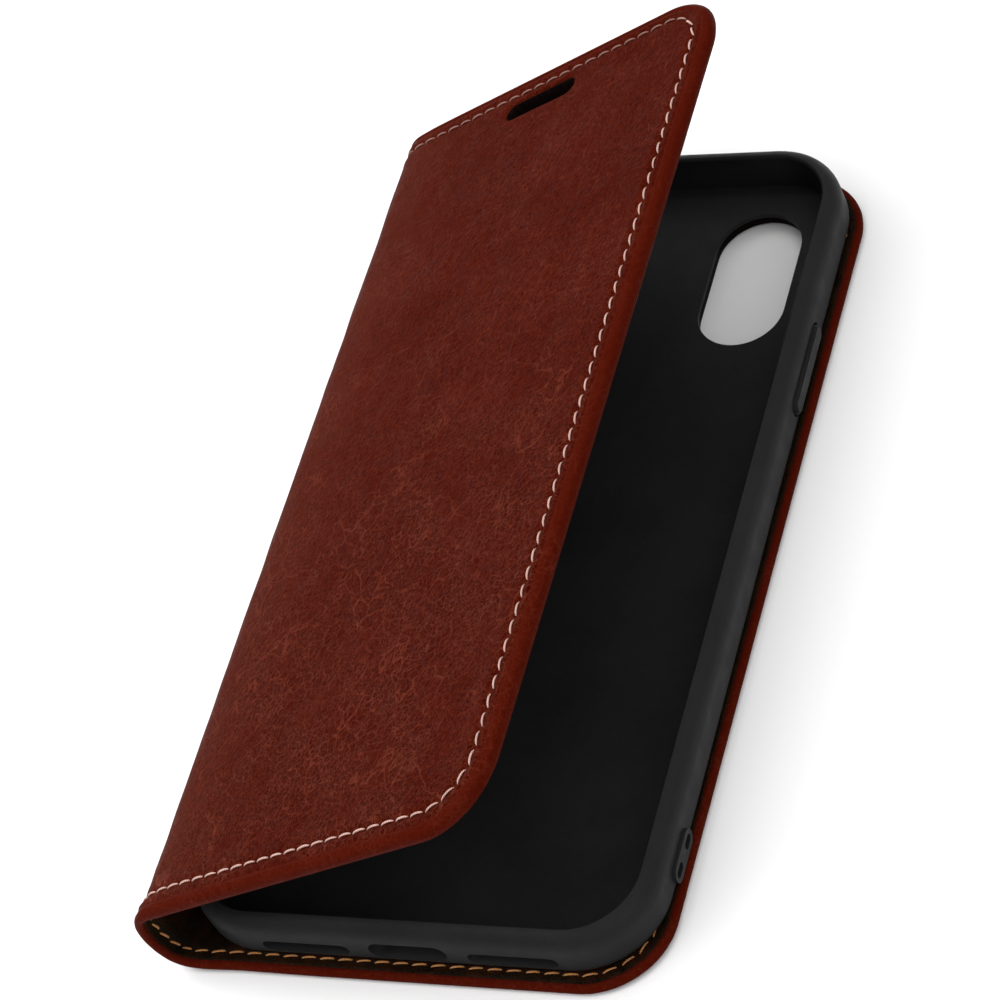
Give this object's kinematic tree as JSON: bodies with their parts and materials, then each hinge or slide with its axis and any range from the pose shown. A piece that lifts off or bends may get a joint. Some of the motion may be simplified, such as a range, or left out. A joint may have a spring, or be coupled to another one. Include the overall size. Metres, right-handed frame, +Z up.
{
  "type": "phone wallet case",
  "caption": "Folio phone wallet case: leather cover folding on a spine over a soft shell, with key covers, camera and port openings, ear slot and card pockets.",
  "frame": {"origin": "centre of the back cover's outer face, on the table", "axes": "+X from the spine to the free side, +Y from the charging end to the ear-slot end, +Z up out of the back cover towards the phone"},
  "size_m": [0.0887, 0.167, 0.052],
  "materials": {
    "leather": "reddish-brown pull-up leather, semi-gloss",
    "lining": "dark brown mottled lining",
    "board": "grey-brown fibre board",
    "thread_light": "twisted pale pink thread",
    "thread_orange": "twisted orange thread",
    "magnet": "plated disc",
    "tape": "double-sided tape",
    "soft_shell": "matte soft plastic"
  },
  "bodies": {
    "back": {"back_leather": "leather", "back_board": "board", "back_magnet_1": "magnet", "back_magnet_2": "magnet", "back_lining": "lining", "back_stitches_outer": "thread_light", "back_stitches_inner": "thread_orange", "shell_tape": "tape", "tpu_shell": "soft_shell"},
    "power_key": {"power_key": "soft_shell"},
    "volume_up_key": {"volume_up_key": "soft_shell"},
    "volume_down_key": {"volume_down_key": "soft_shell"},
    "spine": {"spine_leather": "leather", "spine_lining": "lining", "spine_stitches_outer": "thread_light", "spine_stitches_inner": "thread_orange"},
    "flap": {"flap_leather": "leather", "flap_board": "board", "flap_magnet_1": "magnet", "flap_magnet_2": "magnet", "flap_lining": "lining", "flap_stitches_outer": "thread_light", "flap_stitches_inner": "thread_orange", "cash_pocket": "lining", "card_pocket_1": "lining", "card_pocket_2": "lining", "card_pocket_3": "lining", "pocket_stitches": "thread_orange"}
  },
  "joints": [
    {"name": "spine_fold", "type": "hinge", "parent": "back", "child": "spine", "pos_m": [-0.0433, 0, 0.0008], "axis": [0, 1, 0], "range_deg": [-176, 3.7]},
    {"name": "flap_fold", "type": "hinge", "parent": "spine", "child": "flap", "pos_m": [-0.0443, 0, 0.0161], "axis": [0, 1, 0], "range_deg": [-158, 21.8]},
    {"name": "power_press", "type": "slide", "parent": "back", "child": "power_key", "axis": [-1, 0, 0], "range_m": [0, 0.0005], "stiffness_N_per_m": 1500},
    {"name": "volume_up_press", "type": "slide", "parent": "back", "child": "volume_up_key", "axis": [1, 0, 0], "range_m": [0, 0.0005], "stiffness_N_per_m": 1500},
    {"name": "volume_down_press", "type": "slide", "parent": "back", "child": "volume_down_key", "axis": [1, 0, 0], "range_m": [0, 0.0005], "stiffness_N_per_m": 1500}
  ]
}
